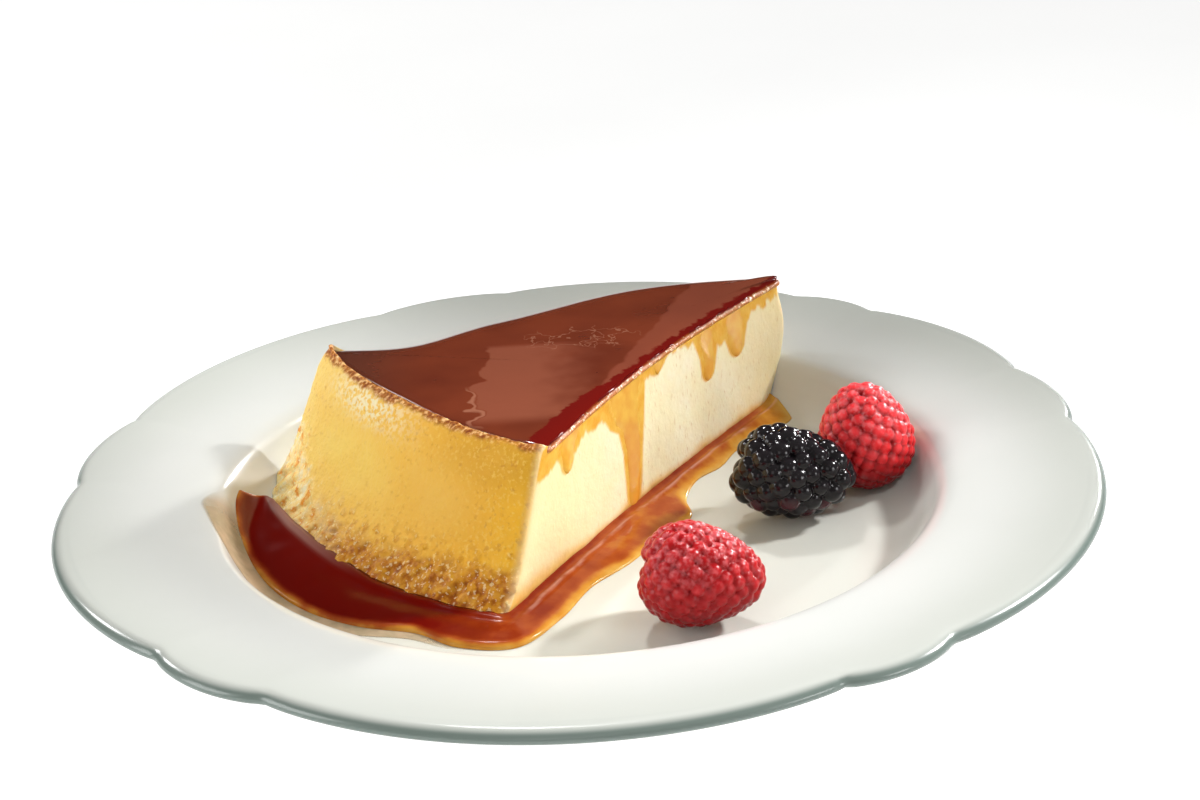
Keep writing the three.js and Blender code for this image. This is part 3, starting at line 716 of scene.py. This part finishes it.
def custard():
    s = Shader("custard")
    around, sunny, smooth, frost, crust, cut = map(
        s.mask, ("around", "sunny", "smooth", "frost", "crust", "cut"))
    grain = s.noise(0.8, 4)

    # The cut: pale cream with fine upright pores.
    mottle = s.noise(2.6, 4, s.stretched(1, 1, 0.5))
    pores = s.noise(0.6, 3, s.stretched(1, 1, 0.3))
    from_tip = s.along(SLICE.tip, NEAR_WAY)
    amber = s.ramp(s.noise(3.2), (0.35, (0.73, 0.35, 0.035)), (0.7, (0.8, 0.48, 0.08)))
    pale = s.layers(
        s.ramp(s.noise(11, 2), (0.35, (0.93, 0.84, 0.55)), (0.65, (0.94, 0.87, 0.63))),
        ((0.87, 0.72, 0.4), s.step(mottle, 0.46, 0.64, 0, 0.2)),
        ((0.66, 0.44, 0.17), s.step(pores, 0.59, 0.73, 0, 0.55)),
        # Deeper and yellower towards the tip: painted shade where the light falls off.
        ((0.78, 0.57, 0.22), s.step(from_tip, 34, 0, 0, 0.42)),
        ((0.88, 0.73, 0.4), s.step(from_tip, 60, 100, 0, 0.85)),
        (amber, s.mask("stain")),
        ((0.3, 0.06, 0.012), s.mask("foot"), 0.85))

    # The crust at the foot, paler and sugary to the left, with painted shade in the creases between
    # its lumps and painted glints, and the toasted rind.
    # Lighter on the lumps, darker in the creases between them: painted shade.
    tone = s.math("ADD", s.mask("knob"), s.step(s.noise(1.1, 4), 0.3, 0.7, -0.3, 0.3))
    left = s.step(around, 0.55, 0.2)
    sugar = s.ramp(s.noise(2.4, 6), (0.36, (0.84, 0.33, 0.04)), (0.46, (1, 0.74, 0.26)),
                   (0.58, (1, 0.78, 0.36)), (0.68, (1, 0.92, 0.62)))
    brown = s.layers(
        s.ramp(tone, (0.0, (0.34, 0.09, 0.008)), (0.35, (0.5, 0.175, 0.012)),
               (0.85, (0.65, 0.3, 0.025))),
        (sugar, left, 0.9),
        # Pale specks over the crust, more to the left: painted glints.
        ((0.98, 0.84, 0.5), s.step(s.noise(0.8, 2), 0.58, 0.66), s.step(left, 0, 1, 0.5, 0.8)))
    toast = s.ramp(s.noise(1.0, 4), (0.36, (0.24, 0.05, 0.01)), (0.52, (0.52, 0.19, 0.03)),
                   (0.66, (0.9, 0.58, 0.26)))

    # The outer side: golden, sunnier to the left, deeper and speckled towards the near corner.
    calm = s.math("SUBTRACT", 1.0, s.product(s.math("MAXIMUM", smooth, sunny), 0.8))
    gold = s.layers(
        s.ramp(around, (0.0, (0.88, 0.62, 0.18)), (0.5, (0.86, 0.49, 0.08)),
               (0.85, (0.8, 0.4, 0.025)), (1.0, (0.88, 0.48, 0.03))),
        ((0.91, 0.65, 0.15), sunny, 0.8),
        ((0.85, 0.5, 0.09), smooth, 0.85),
        ((0.62, 0.31, 0.025), s.step(around, 0.6, 0.9, 0, 0.6), s.step(s.height(), 25, 33)),
        ((0.84, 0.45, 0.05), s.step(s.noise(8), 0.35, 0.75, 0, 0.35)),
        ((0.9, 0.62, 0.13), s.step(grain, 0.5, 0.72, 0, 0.55), calm),
        ((0.55, 0.22, 0.025), s.step(s.noise(1.2, 4), 0.56, 0.72, 0, 0.5), calm),
        # A pale speckled patch high on the left: painted highlight on wet lumps.
        ((0.93, 0.86, 0.6), frost, s.step(s.noise(1.0), 0.42, 0.58), 0.8),
        (brown, crust),
        (toast, s.mask("rind")),
        (pale, cut))

    rough = s.step(s.math("MAXIMUM", crust, frost), 0, 1, 0.42, 0.17)
    normal = s.bump(s.product(grain, s.step(cut, 0, 1, 1, 0.3)), 0.28)
    return s.finish(Base_Color=gold, Roughness=rough, Normal=normal, IOR=1.42,
                    Specular_IOR_Level=0.14, Subsurface_Weight=0.2, Subsurface_Scale=0.002,
                    Subsurface_Radius=(1.0, 0.6, 0.25))


# ---- glaze and its runs


def glaze_line(count, rounds):
    """Height, arc inset and cut inset of the glaze from its lower edge up and in."""
    base, top = SLICE.bed_height, SLICE.glaze_top
    stops = array([
        (base - 0.25, 0.0, 0.5), (base - 0.2, 0.0, -0.2), (base + 0.15, 0.0, -0.5),
        (base + 0.55, 0.05, -0.5), (base + 0.95, 0.05, -0.1), (base + 1.35, 0.05, 0.7),
        (top - 0.25, 0.1, 1.9), (top - 0.06, 0.3, 3.2), (top, 0.6, 4.4),
    ])
    place = linspace(0, len(stops) - 1, count)
    line = stack([np.interp(place, range(len(stops)), column) for column in stops.T], axis=1)
    for _ in range(rounds):
        line[1:-1] = (line[:-2] + 2 * line[1:-1] + line[2:]) / 4
    return line


def glaze_cap():
    outline = Outline(arc_count=190, near_count=200, far_count=90)
    rings = []
    for height, arc_inset, cut_inset in glaze_line(30, 4):
        shape = outline.at(SLICE.glaze_top, -SLICE.rind_width - arc_inset, -cut_inset)
        rings.append(at_height(shape, height))
    inner = rings[-1]
    middle = inner.mean(axis=0)
    rings += [lerp(middle, inner, share) for share in linspace(0.97, 0.02, 22)]
    rings = soften_corners(stack(rings), outline.corners[1:], rounds=6, reach=8)
    height = rings[..., 2] - PLATE.floor_height
    bed, top = SLICE.bed_height, SLICE.glaze_top
    lip = smoothstep(height, bed, bed + 0.5) * (1 - smoothstep(height, bed + 1.0, bed + 1.6))
    beads = 0.24 * lip * fractal_noise(rings, 1.1, 15, 2)
    rings[..., :2] += outward(rings) * beads[..., None] * 0.6
    swell = 0.08 * value_noise(rings, 11, 5)
    rings[..., 2] += swell * smoothstep(height, top - 0.4, top) - 0.06
    return loft(rings)


def run_solid(run):
    """One run down the near cut: thin, with rounded sides and a fuller end."""
    rows, across = 72, 21
    top, bottom = run[0][0], run[-1][0]
    spots = linspace(-1, 1, across)
    behind = spots[::-1][2:-2:4]
    rings = []
    for t in linspace(0, 1, rows) ** 0.8:
        height = lerp(top, bottom + 0.02, t)
        centre, half = run_shape(run, height)
        depth = lerp(0.08, 0.3, smoothstep(t, 0.35, 0.95)) * min(half / run[-1][2], 1)
        front = cut_point(NEAR, centre + spots * half, height,
                          -0.16 + (depth + 0.18) * clip(1 - spots ** 2, 0, 1) ** 0.8)
        back = cut_point(NEAR, centre + behind * half, height, -0.6)
        rings.append(at_height(concatenate([front, back]), height))
    return loft(stack(rings))


def united(name, solids):
    """One object from overlapping closed meshes."""
    main = make_object(name, *solids[0])
    for k, solid in enumerate(solids[1:]):
        other = make_object(f"{name}_{k}", *solid)
        union = main.modifiers.new("union", "BOOLEAN")
        union.operation = "UNION"
        union.solver = "MANIFOLD"
        union.object = other
        bpy.context.view_layer.update()
        seen = main.evaluated_get(bpy.context.evaluated_depsgraph_get())
        mesh = bpy.data.meshes.new_from_object(seen)
        main.modifiers.clear()
        main.data = mesh
        bpy.data.objects.remove(other)
    main.data.shade_smooth()
    return main


def caramel():
    s = Shader("caramel")
    height = s.height()
    edge = PLATE.floor_height + SLICE.bed_height

    # Two painted reflections lie on it: a paler band with a wavy edge in the middle, with a painted
    # highlight line along its left edge, and a paler patch towards the tip.
    wave = s.step(s.noise(5.5, 1.6), 0, 1, -3.8, 3.8)
    across = s.along((0, 0), (1, 0))
    x = s.math("ADD", across, wave)
    y = s.along((0, 0), (0, 1))
    far = s.math("ADD", s.along((26, 52), (0.932, -0.362)), s.product(wave, 0.35))
    # Fine scratches and burst bubbles lie in the middle.
    cells = s.texture("TexVoronoi", 6.5, s.warped(3.5, 6.0), feature="DISTANCE_TO_EDGE")
    scratch = s.step(cells.outputs["Distance"], 0.02, 0.006)
    # Along the near cut the glaze thins to a clear dark red strip.
    length = s.along(SLICE.tip, NEAR_WAY)
    turn = s.product(length, pi / SLICE.rim_radius[2])
    bow = s.product(s.math("SINE", turn), SLICE.near_bow[1])
    inside = s.math("SUBTRACT", s.along(SLICE.tip, -NEAR_OUT), bow)
    ragged = s.math("ADD", inside, s.step(s.noise(2.4), 0, 1, -1.1, 1.1))
    within = s.math("SUBTRACT", ragged, s.step(length, 62, 92, 1.9, 4.6))
    deep = s.layers(
        s.ramp(s.noise(24), (0.35, (0.125, 0.022, 0.009)), (0.6, (0.18, 0.034, 0.013))),
        # Paler band in the middle: painted reflection.
        ((0.265, 0.075, 0.04), s.step(x, -20.4, -19.2), s.step(x, 8, -9),
         s.step(y, 28, 25), s.step(y, -18, -12), 0.8),
        # Thin pale line along the band's left edge: painted highlight.
        ((0.42, 0.17, 0.1), s.step(x, -21.6, -20.9), s.step(x, -19.8, -20.5),
         s.step(y, 5, 0), s.step(y, -20, -14), 0.6),
        # Paler patch towards the tip: painted reflection.
        ((0.25, 0.064, 0.035), s.step(far, -0.5, 0.6, 0, 0.6)),
        ((0.45, 0.2, 0.12), scratch, s.step(s.reach((2, 29), (15, 8)), 1.0, 0.6), 0.4),
        ((0.07, 0.025, 0.016), s.step(across, -30, -52, 0, 0.7)),
        ((0.14, 0.005, 0.003), s.step(within, 0.4, -0.4)))

    # The runs below are amber. The cut edge between holds bubbles, speckled pale as a painted
    # broken highlight.
    amber = s.layers(
        s.ramp(s.noise(3), (0.35, (0.73, 0.35, 0.04)), (0.65, (0.8, 0.46, 0.065))),
        ((0.68, 0.22, 0.022), s.step(height, edge - 6, edge - 13, 0, 0.45)))
    lip = s.product(s.step(height, edge - 0.4, edge + 0.1), s.step(height, edge + 1.2, edge + 0.7))
    bubbles_and_painted_glints = s.noise(0.9, 2)
    colour = s.layers(
        deep,
        (amber, s.step(height, edge + 0.9, edge - 0.3)),
        ((0.55, 0.17, 0.03), lip, 0.7),
        # Pale specks on the bubbles: painted highlight.
        ((0.9, 0.66, 0.4), s.step(bubbles_and_painted_glints, 0.58, 0.66), lip))
    ripple = s.bump(s.noise(7, 2, distortion=0.6), 0.06)
    normal = s.bump(s.product(bubbles_and_painted_glints, lip), 0.35, Normal=ripple)
    return s.finish(Base_Color=colour, Roughness=s.step(lip, 0, 1, 0.1, 0.4), Normal=normal,
                    IOR=1.45)


# ---- sauce


def foot_place(side, at):
    """A point on the slice's foot and the way out from it."""
    height = 1.0
    if side == "near":
        return cut_point(NEAR, at, height), NEAR_OUT
    if side == "corner":
        return arc_point(at, height), (NEAR_WAY + NEAR_OUT) / sqrt(2)
    return arc_point(at, height), heading(lerp(SLICE.far_cut, SLICE.near_cut, at))


def curve_through(points, places):
    """Centripetal Catmull-Rom curve through points, at places counted from the first point."""
    points = array(points, float)
    padded = concatenate([2 * points[:1] - points[1:2], points, 2 * points[-1:] - points[-2:-1]])
    samples = []
    for place in places:
        k = min(int(place), len(points) - 2)
        p = padded[k:k + 4]
        gaps = maximum(norm(np.diff(p, axis=0), axis=1) ** 0.5, 1e-6)
        t = np.append(0, np.cumsum(gaps))
        here = lerp(t[1], t[2], place - k)
        for start, end in ((t[:3], t[1:]), (t[:2], t[2:]), (t[1:2], t[2:3])):
            p = lerp(p[:-1], p[1:], ((here - start) / (end - start))[:, None])
        samples.append(p[0])
    return array(samples)


def pool_curves(count=431):
    """Smooth samples of the pool's foot line and outer edge with the level, and their places."""
    foot, edge = [], []
    for side, stops in POOL.items():
        for at, spread, level in stops:
            point, way = foot_place(side, at)
            foot.append([*point, level])
            edge.append([*(point + way * spread), level])
    order = linspace(0, len(foot) - 1, count)[:, None]
    return curve_through(foot, order[:, 0]), curve_through(edge, order[:, 0]), order


def pool_object():
    """The sauce, with a rounded edge, a rise at the slice and a ridge on the near side."""
    foot, edge, order = pool_curves()
    to_end = order[-1] - order
    closing = np.sqrt(clip((np.minimum(order * 2, to_end) + 0.02) / 0.9, 0, 1))
    across = edge[:, :2] - foot[:, :2]
    width = norm(across, axis=1, keepdims=True)
    reach = width * closing
    level = foot[:, 2:] * lerp(0.6, 1, closing)
    near_side = smoothstep(order, 7.5, 9.5)
    shares = concatenate([[-0.16, -0.08], linspace(0, 0.8, 18), linspace(0.83, 1, 12)])

    plan = foot[:, None, :2] + (across / width)[:, None] * (reach * shares)[..., None]
    ground = plate_height(norm(plan, axis=-1)) + 0.06
    over = PLATE.floor_height + level - ground - SAUCE_FILM
    film = SAUCE_FILM + (over + np.sqrt(over ** 2 + 1.2)) / 2
    from_edge = (1 - shares) * reach
    fullness = rounded(from_edge / 1.6)
    thin = lerp(1.0, lerp(0.75, 0.45, near_side), smoothstep(shares, 0.35, 0.95))
    to_wall = maximum(shares, 0) * reach
    depth = film * fullness * thin
    depth += 0.6 * exp(-to_wall) * closing
    depth += 0.4 * near_side * hump(to_wall, 2.6, 1.3) * fullness
    wobble = value_noise(lifted(plan, ground), 5, 9)
    depth = maximum(depth * (1 + 0.1 * wobble), 0.02)

    tone = lerp(1.0, 0.6, smoothstep(order, 5.0, 8.4)) - 0.16 * smoothstep(order, 9.5, 12)
    rim = lerp(2.7, 3.0, near_side)
    fringe = lerp(0.32, 0.25, smoothstep(order, 4, 8))
    tone = tone * lerp(fringe, 1.0, smoothstep(from_edge + 0.8 * wobble, 0, rim))
    tone += 0.15 * near_side * (1 - smoothstep(to_wall, 0.6, 1.6))
    tone *= lerp(0.3, 1, smoothstep(to_end, 0.2, 2.4))
    # A pale streak along the ridge on the near side: painted highlight.
    pale = 0.5 * near_side * hump(to_wall + 0.5 * wobble, 2.3, 0.7)
    # A pinkish line along the slice's foot: painted highlight of the meniscus.
    painted_meniscus_highlight = hump(order, 1.4, 2.6) * exp(-maximum(to_wall - 0.3, 0) / 0.25)
    return sheet_object("caramel_sauce", plan, ground, ground + depth,
                        {"tone": tone, "pale": pale, "painted_meniscus_highlight": painted_meniscus_highlight})


def sauce_film_and_shade():
    """The thin film that the sauce left on the well's wall; its tan also paints the wall's shade
    there.
    """
    foot, edge = (curve[21:161, :2] for curve in pool_curves()[:2])
    way = edge - foot
    way /= norm(way, axis=1, keepdims=True)
    t = linspace(0, 1, len(way))[:, None]
    width = 8.4 * (1 - t) ** 0.8 * smoothstep(t, -0.06, 0.12)
    shares = concatenate([[0], linspace(0.01, 0.99, 25), [1]])
    out = (width + 0.9) * shares - 0.8
    plan = edge[:, None] + way[:, None] * out[..., None]
    ground = plate_height(norm(plan, axis=-1))
    dome = 0.08 * np.sqrt(1 - shares ** 4) + 0.02
    fade = smoothstep(t, 0, 0.2) * (1 - smoothstep(t, 0.7, 1.0))
    return sheet_object("sauce_film_and_shade", plan, ground + 0.03, ground + 0.05 + dome,
                        {"fade": fade, "share": shares})


def sauce():
    s = Shader("sauce")
    tone = s.math("ADD", s.mask("tone"), s.step(s.noise(5), 0, 1, -0.16, 0.16))
    colour = s.layers(
        s.ramp(tone, (0.05, (0.66, 0.4, 0.09)), (0.25, (0.57, 0.24, 0.03)),
               (0.45, (0.36, 0.07, 0.012)), (0.68, (0.22, 0.02, 0.003)),
               (0.9, (0.15, 0.003, 0.0006))),
        # A pale streak on the near ridge: painted highlight.
        ((0.78, 0.46, 0.36), s.mask("pale"), s.step(s.noise(6), 0.36, 0.56), 0.8),
        # Pinkish line at the slice's foot: painted highlight of the meniscus.
        ((0.62, 0.4, 0.34), s.mask("painted_meniscus_highlight"), 0.45))
    return s.finish(Base_Color=colour, Roughness=0.16, Normal=s.bump(s.noise(9, 2), 0.1),
                    IOR=1.3, Specular_IOR_Level=0.25)


def thin_sauce_and_shade():
    s = Shader("thin_sauce_and_shade")
    patch = s.noise(6)
    # Tan over the well's wall: partly the sauce's film, partly painted shade.
    colour = s.ramp(patch, (0.35, (0.54, 0.43, 0.26)), (0.65, (0.62, 0.46, 0.3)))
    alpha = s.product(s.step(patch, 0.3, 0.7, 0.5, 0.75), s.step(s.mask("share"), 1.0, 0.85),
                      s.mask("fade"))
    return s.finish(Base_Color=colour, Roughness=0.5, Alpha=alpha, IOR=1.35,
                    Specular_IOR_Level=0.1)


# ---- berries


def seeded(seed):
    """A fixed run of numbers from -0.5 to 0.5 for each seed."""
    state = seed
    while True:
        state = (state * 1664525 + 1013904223) & 0xFFFFFFFF
        yield state / 4294967296 - 0.5


def berry_radius(kind, v):
    """Radius of the circle of drupelet centres at a share v of the length from the base."""
    full = kind.width / 2 - kind.drupelet * 0.8
    belly = 0.4
    towards = (belly - v) / belly * kind.base if v < belly else (v - belly) / (1 - belly)
    return full * sqrt(max(1 - towards ** 2.3, 0)) * (1 - kind.taper * max(v - belly, 0))


def centre_height(kind, v):
    """Height of a drupelet's centre over the berry's middle, at a share v."""
    return kind.length * (v - 0.5) * 0.86


def drupelets(kind):
    """Drupelet centres and sizes, packed evenly along a spiral from base to tip."""
    draw = seeded(kind.seed)
    v = linspace(0.01, 1, 400)
    radius = array([berry_radius(kind, share) for share in v])
    middle = (radius[1:] + radius[:-1]) / 2
    area = 2 * pi * middle * np.hypot(np.diff(radius), np.diff(centre_height(kind, v)))
    total = concatenate([[0], np.cumsum(area)])
    count = int(total[-1] / (kind.pitch ** 2 * 0.866))
    places, sizes = [], []
    for i in range(count):
        share = np.interp((i + 1) / count * total[-1], total, v)
        turn = i * pi * (3 - sqrt(5)) + kind.jitter * next(draw)
        spread = berry_radius(kind, share) * (1 + 0.5 * kind.jitter * next(draw))
        lift = kind.pitch * kind.jitter * next(draw)
        places.append((spread * cos(turn), spread * sin(turn),
                       centre_height(kind, share) + lift))
        sizes.append(kind.drupelet * (1 + 1.6 * kind.jitter * next(draw)))
    return array(places), array(sizes)


def sphere_directions(level):
    ball = bmesh.new()
    bmesh.ops.create_icosphere(ball, subdivisions=level, radius=1)
    directions = array([v.co for v in ball.verts])
    faces = [[v.index for v in face.verts] for face in ball.faces]
    ball.free()
    return directions / norm(directions, axis=1)[:, None], faces


def merged(distances, softness):
    """The greatest of several distances, softly joined."""
    most = distances.max(axis=1, keepdims=True)
    total = exp((distances - most) / softness).sum(axis=1)
    return most[:, 0] + softness * np.log(total)


def berry_object(name, kind):
    """A berry: its outermost drupelet in each direction, softly merged."""
    directions, faces = sphere_directions(7)
    places, sizes = drupelets(kind)
    ahead = directions @ places.T
    square = ahead ** 2 - (places ** 2).sum(axis=1) + sizes ** 2
    root = np.sqrt(np.abs(square))
    reach = where(square > 0, ahead + root, ahead - 2 * root)
    owner = reach.argmax(axis=1)
    core = np.full((len(reach), 1), kind.width * 0.38)
    spread = concatenate([reach, core], axis=1)
    fine, broad = (merged(spread, softness) for softness in (kind.merge, 1.2))
    distance = lerp(fine, broad - (broad - fine).mean(), kind.fill) - 0.5 * kind.merge
    points = directions * distance[:, None]
    normal = (points - places[owner]) / sizes[owner][:, None]
    facing = clip((normal * directions).sum(axis=1), 0, 1)

    lean, turn = radians(kind.lean), radians(kind.turn)
    rotation = array(Matrix.Rotation(turn, 3, "Z") @ Matrix.Rotation(lean, 3, "Y"))
    points = points @ rotation.T + array([kind.x, kind.y, 0])
    radius = norm(points[:, :2], axis=1)
    points[:, 2] += (plate_height(radius) + 0.3 - points[:, 2]).max()
    masks = {"crown": facing, "own": hashed(stack([owner] * 3, axis=1), kind.seed) * 0.5 + 0.5}
    return make_object(name, points, faces, masks)


def raspberry_skin(name, dull, bright):
    s = Shader(name)
    tone = s.layers(dull, (bright, s.mask("own")),
                    # Deeper red low down: painted shade.
                    ((0.17, 0.002, 0.004), s.step(s.height(), 19, 10)))
    # Pink bloom on the upper part: partly the fruit's bloom, partly painted sheen where the light
    # falls on top.
    bloom_and_painted_sheen = s.product(s.step(s.noise(1.2, 4), 0.42, 0.66), s.step(s.height(), 14, 27, 0.0, 0.55))
    # Darker red in the creases between drupelets: painted shade.
    colour = s.layers((0.34, 0.003, 0.005), (tone, s.step(s.mask("crown"), 0.55, 0.95)),
                      ((0.78, 0.2, 0.22), bloom_and_painted_sheen))
    return s.finish(Base_Color=colour, Roughness=0.28, Normal=s.bump(s.noise(0.45), 0.07),
                    IOR=1.36, Specular_IOR_Level=0.4, Subsurface_Weight=0.4,
                    Subsurface_Scale=0.003, Subsurface_Radius=(1.0, 0.2, 0.15))


def bramble_skin():
    s = Shader("bramble_skin")
    plum = s.product(s.step(s.mask("own"), 0.6, 0.7), s.step(s.height(), 15, 12))
    tone = s.layers((0.01, 0.007, 0.009), ((0.055, 0.008, 0.014), plum))
    # Blacker in the creases between drupelets: painted shade.
    colour = s.layers((0.004, 0.002, 0.003), (tone, s.step(s.mask("crown"), 0.5, 0.9)))
    return s.finish(Base_Color=colour, Roughness=0.17, Normal=s.bump(s.noise(1.3, 2), 0.05),
                    IOR=1.5, Specular_IOR_Level=0.32)


# ---- stage, light and camera


def floor():
    bpy.ops.mesh.primitive_plane_add(size=8)
    plane = bpy.context.object
    plane.name = "floor"
    s = Shader("floor_paper")
    tone = s.ramp(s.noise(60, 2), (0.3, (0.6, 0.6, 0.6)), (0.7, (0.62, 0.62, 0.62)))
    paper = s.finish(Base_Color=tone, Roughness=0.8, Emission_Color=(1, 1, 1),
                     Emission_Strength=0.66)
    plane.data.materials.append(paper)


def light(kind, name, azimuth, elevation, distance, power, target=(0, 0, 0)):
    """A light that looks at a target, its azimuth in degrees from +X towards +Y."""
    data = bpy.data.lights.new(name, kind)
    data.energy = power
    lamp = bpy.data.objects.new(name, data)
    a, e = radians(azimuth), radians(elevation)
    way = Vector((cos(a) * cos(e), sin(a) * cos(e), sin(e)))
    lamp.location = Vector(target) + way * distance
    lamp.rotation_mode = "QUATERNION"
    lamp.rotation_quaternion = way.to_track_quat("Z", "Y")
    scene.collection.objects.link(lamp)
    return data


def lights():
    for *place, target, half_angle, radius, power in SPOTS:
        data = light("SPOT", *place, power, target)
        data.spot_size = radians(2 * half_angle)
        data.spot_blend = 1.0
        data.shadow_soft_size = radius
    for *place, size, power in SQUARE_LIGHTS:
        light("AREA", *place, power).size = size


def sky():
    """Pale studio walls, dim behind the plate, where glossy tops mirror them."""
    world = bpy.data.worlds.new("studio")
    scene.world = world
    s = Nodes(world)
    split = s.add("SeparateXYZ", {"Vector": s.add("TexCoord").outputs["Generated"]})
    strength = s.product(s.step(split.outputs["Y"], 0.2, 0.6, 1.0, 0.12),
                         s.step(split.outputs["Z"], 0.0, 0.9, 0.2, 0.35))
    walls = s.add("Background", {"Color": (1, 1, 0.95), "Strength": strength})
    s.add("OutputWorld", {"Surface": walls.outputs["Background"]})


def camera():
    """The photograph's view: 23 degrees down with a slight roll."""
    data = bpy.data.cameras.new("camera")
    data.lens = 67.5
    data.sensor_width = 36
    data.clip_start = 0.01
    obj = bpy.data.objects.new("camera", data)
    tilt = Matrix.Rotation(radians(90 - 23.045), 4, "X")
    roll = Matrix.Rotation(radians(-3.414), 4, "Z")
    obj.matrix_world = Matrix.Translation(Vector((5.69, -438.2, 220.59)) * MM) @ tilt @ roll
    scene.collection.objects.link(obj)
    scene.camera = obj


# ---- the dessert

camera()
floor()
sky()
lights()

dress(make_object("dessert_plate", *plate_mesh()), porcelain(), "porcelain", "plate")
dress(flan_object(), custard(), "custard", "flan")
glaze = united("caramel_glaze", [glaze_cap()] + [run_solid(run) for run in RUNS])
dress(glaze, caramel(), "caramel", "caramel_top")
dress(pool_object(), sauce(), "sauce", "caramel_pool")
dress(sauce_film_and_shade(), thin_sauce_and_shade(), "sauce")
dress(berry_object("front_raspberry", FRONT_RASPBERRY),
      raspberry_skin("front_skin", (0.36, 0.003, 0.005), (0.52, 0.009, 0.013)),
      "raspberry", "raspberry_front")
# The back raspberry wears a brighter copy of the same skin: painted light, since the lamps reach it
# less.
dress(berry_object("back_raspberry", BACK_RASPBERRY),
      raspberry_skin("back_skin_painted_brighter", (0.78, 0.014, 0.018), (0.94, 0.05, 0.06)),
      "raspberry", "raspberry_back")
dress(berry_object("dark_bramble", BRAMBLE), bramble_skin(), "bramble", "bramble")

scene.view_settings.view_transform = "Standard"
